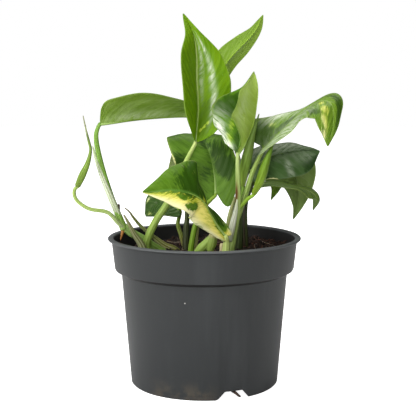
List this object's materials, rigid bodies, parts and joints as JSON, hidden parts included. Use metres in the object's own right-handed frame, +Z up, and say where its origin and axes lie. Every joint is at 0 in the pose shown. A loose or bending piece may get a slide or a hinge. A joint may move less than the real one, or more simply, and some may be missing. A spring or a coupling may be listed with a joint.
{
  "type": "potted pothos plant",
  "caption": "Young pothos vine with heart-shaped leaves on long petioles, growing in dark soil in a round plastic nursery pot.",
  "frame": {"origin": "on the ground, at the pot's axis", "axes": "+Z up out of the pot, -Y towards the front of the plant, +X to its right as seen from the front"},
  "size_m": [0.1612, 0.12, 0.229],
  "materials": {
    "pot_plastic": "satin",
    "soil": "matte",
    "root": "matte",
    "petiole_green": "satin",
    "petiole_dark": "satin",
    "old_sheath": "matte",
    "leaf_upper": "satin",
    "leaf_underside": "matte",
    "leaf_variegated": "satin",
    "leaf_young": "satin"
  },
  "bodies": {
    "root": {"nursery_pot": "pot_plastic", "potting_soil": "soil", "drain_root": "root", "stem_left": "petiole_green", "sheath_left": "old_sheath", "stem_left_old": "old_sheath", "stem_tall": "petiole_green", "stem_speckled": "petiole_green", "stem_back_left": "petiole_dark", "stem_centre": "petiole_green", "stem_cut": "petiole_green", "stem_tall_back": "petiole_green", "stem_front": "petiole_green", "stem_right": "petiole_green", "stem_dark": "petiole_dark", "stem_back_right": "petiole_dark", "stem_brown": "old_sheath", "leaf_tall": "leaf_upper", "leaf_tall_back": "leaf_underside", "leaf_left_arched": "leaf_underside", "leaf_folded": "leaf_upper", "leaf_right_drooping": "leaf_variegated", "leaf_right_dark": "leaf_upper", "leaf_right_level": "leaf_upper", "leaf_right_hanging": "leaf_underside", "leaf_right_small": "leaf_upper", "leaf_front_variegated": "leaf_variegated", "leaf_back": "leaf_underside", "leaf_back_left_small": "leaf_upper", "leaf_low_speckled": "leaf_variegated", "young_leaf_left": "leaf_young", "young_leaf_right": "leaf_young", "young_leaf_back": "leaf_young"}
  },
  "joints": []
}
